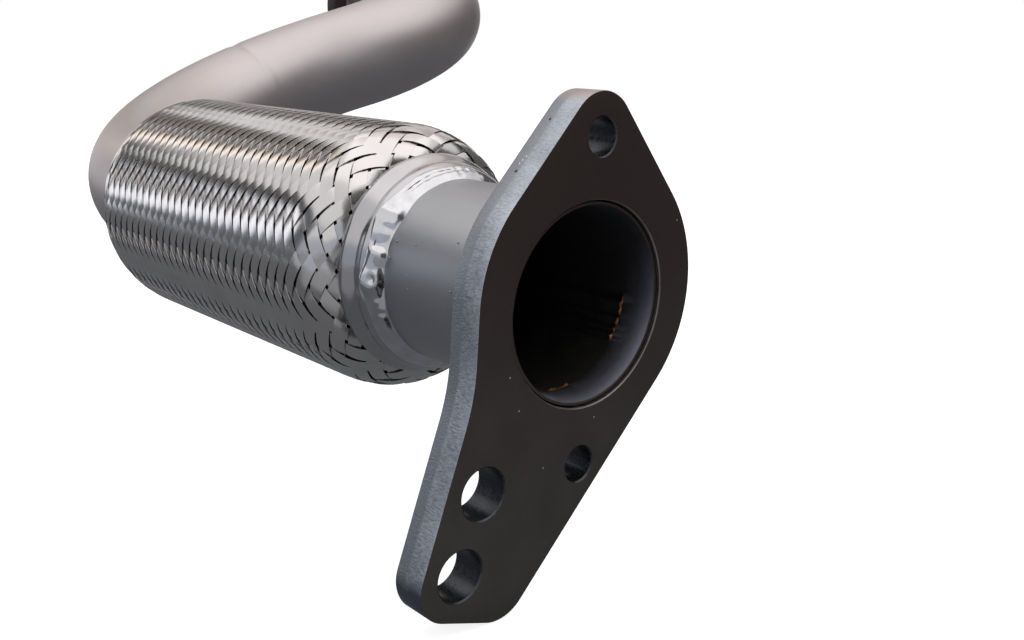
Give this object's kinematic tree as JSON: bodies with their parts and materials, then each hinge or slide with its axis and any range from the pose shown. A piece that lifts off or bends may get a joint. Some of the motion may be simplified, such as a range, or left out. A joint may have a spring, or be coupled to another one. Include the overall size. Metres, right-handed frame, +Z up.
{
  "type": "exhaust flex pipe",
  "caption": "Exhaust flex pipe with a bolted inlet plate and drilled leg, a braided bellows section between rolled caps, and a double-bent outlet pipe to a bolted plate.",
  "frame": {"origin": "centre of the inlet bore on the inlet plate's front face", "axes": "+X out of the inlet plate's front face, +Z up the line of the two stud holes, +Y to the right seen from the front; the flex section runs along -X"},
  "size_m": [0.432, 0.3252, 0.2429],
  "materials": {
    "plate_steel": "dark oxidised steel plate, satin",
    "pipe_steel": "bead-blasted stainless tube, satin grey",
    "cap_steel": "smooth pressed stainless, satin-bright",
    "weld_metal": "bright weld bead",
    "braid_steel": "woven flat stainless strips",
    "bellows_steel": "plain thin stainless sheet"
  },
  "bodies": {
    "inlet_end": {"inlet_flange": "plate_steel", "inlet_stub": "pipe_steel", "inlet_flange_weld": "weld_metal", "front_cap_ring": "cap_steel", "front_cap_weld": "weld_metal"},
    "flex_core": {"outer_braid": "braid_steel", "bellows": "bellows_steel", "interlock_liner": "bellows_steel"},
    "outlet_end": {"rear_cap_ring": "cap_steel", "rear_cap_weld": "weld_metal", "outlet_pipe": "pipe_steel", "outlet_flange_weld": "weld_metal", "outlet_flange": "plate_steel"}
  },
  "joints": [
    {"name": "flex_pitch", "type": "hinge", "parent": "inlet_end", "child": "flex_core", "pos_m": [-0.108, 0, 0], "axis": [0, 1, 0], "range_deg": [-8, 8], "stiffness_Nm_per_rad": 120, "deforming": ["outer_braid", "bellows", "interlock_liner"]},
    {"name": "flex_yaw", "type": "hinge", "parent": "flex_core", "child": "outlet_end", "pos_m": [-0.2, 0, 0], "axis": [0, 0, 1], "range_deg": [-8, 8], "stiffness_Nm_per_rad": 120, "deforming": ["outer_braid", "bellows", "interlock_liner"]}
  ]
}
